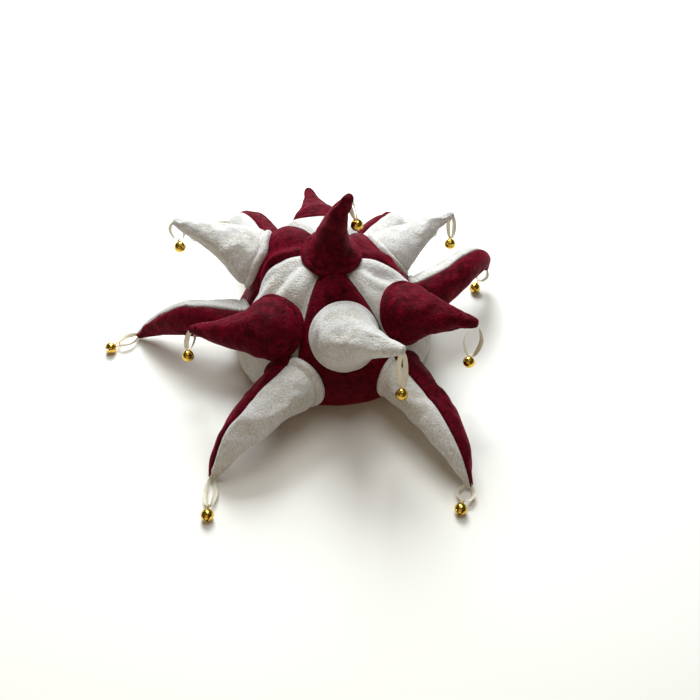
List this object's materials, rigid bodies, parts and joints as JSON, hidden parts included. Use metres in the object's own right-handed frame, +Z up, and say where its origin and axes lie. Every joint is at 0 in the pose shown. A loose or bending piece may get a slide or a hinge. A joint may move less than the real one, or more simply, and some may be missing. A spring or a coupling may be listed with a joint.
{
  "type": "jester hat",
  "caption": "Soft two-colour jester hat with a panelled dome, stuffed points, a top spike and drooping stuffed horns, each ending in a ribbon loop with a small round bell.",
  "frame": {"origin": "centre of the head opening, in the plane of the rim and of the surface that the hat rests on", "axes": "+Z up through the crown, -Y towards the viewer at the front panel's side, +X to the viewer's right"},
  "size_m": [0.404, 0.4027, 0.2002],
  "materials": {
    "maroon_velour": "crushed velour",
    "white_velour": "short plush",
    "satin_ribbon": "satin",
    "gold_bell": "polished"
  },
  "bodies": {
    "root": {"panel_front": "maroon_velour", "panel_front_right": "white_velour", "panel_back_right": "maroon_velour", "panel_back": "white_velour", "panel_back_left": "maroon_velour", "panel_front_left": "white_velour", "point_front": "white_velour", "point_front_right": "maroon_velour", "point_back_right": "white_velour", "point_back": "maroon_velour", "point_back_left": "white_velour", "point_front_left": "maroon_velour", "spike_top": "maroon_velour", "horn_front_right_red": "maroon_velour", "horn_front_right_white": "white_velour", "horn_right_red": "maroon_velour", "horn_right_white": "white_velour", "horn_back_right_red": "maroon_velour", "horn_back_right_white": "white_velour", "horn_back_left_red": "maroon_velour", "horn_back_left_white": "white_velour", "horn_left_red": "maroon_velour", "horn_left_white": "white_velour", "horn_front_left_red": "maroon_velour", "horn_front_left_white": "white_velour", "ribbon_point_front": "satin_ribbon", "bell_point_front": "gold_bell", "ribbon_point_front_right": "satin_ribbon", "bell_point_front_right": "gold_bell", "ribbon_point_back_right": "satin_ribbon", "bell_point_back_right": "gold_bell", "ribbon_point_back": "satin_ribbon", "bell_point_back": "gold_bell", "ribbon_point_back_left": "satin_ribbon", "bell_point_back_left": "gold_bell", "ribbon_point_front_left": "satin_ribbon", "bell_point_front_left": "gold_bell", "ribbon_spike_top": "satin_ribbon", "bell_spike_top": "gold_bell", "ribbon_horn_front_right": "satin_ribbon", "bell_horn_front_right": "gold_bell", "ribbon_horn_right": "satin_ribbon", "bell_horn_right": "gold_bell", "ribbon_horn_back_right": "satin_ribbon", "bell_horn_back_right": "gold_bell", "ribbon_horn_back_left": "satin_ribbon", "bell_horn_back_left": "gold_bell", "ribbon_horn_left": "satin_ribbon", "bell_horn_left": "gold_bell", "ribbon_horn_front_left": "satin_ribbon", "bell_horn_front_left": "gold_bell"}
  },
  "joints": []
}
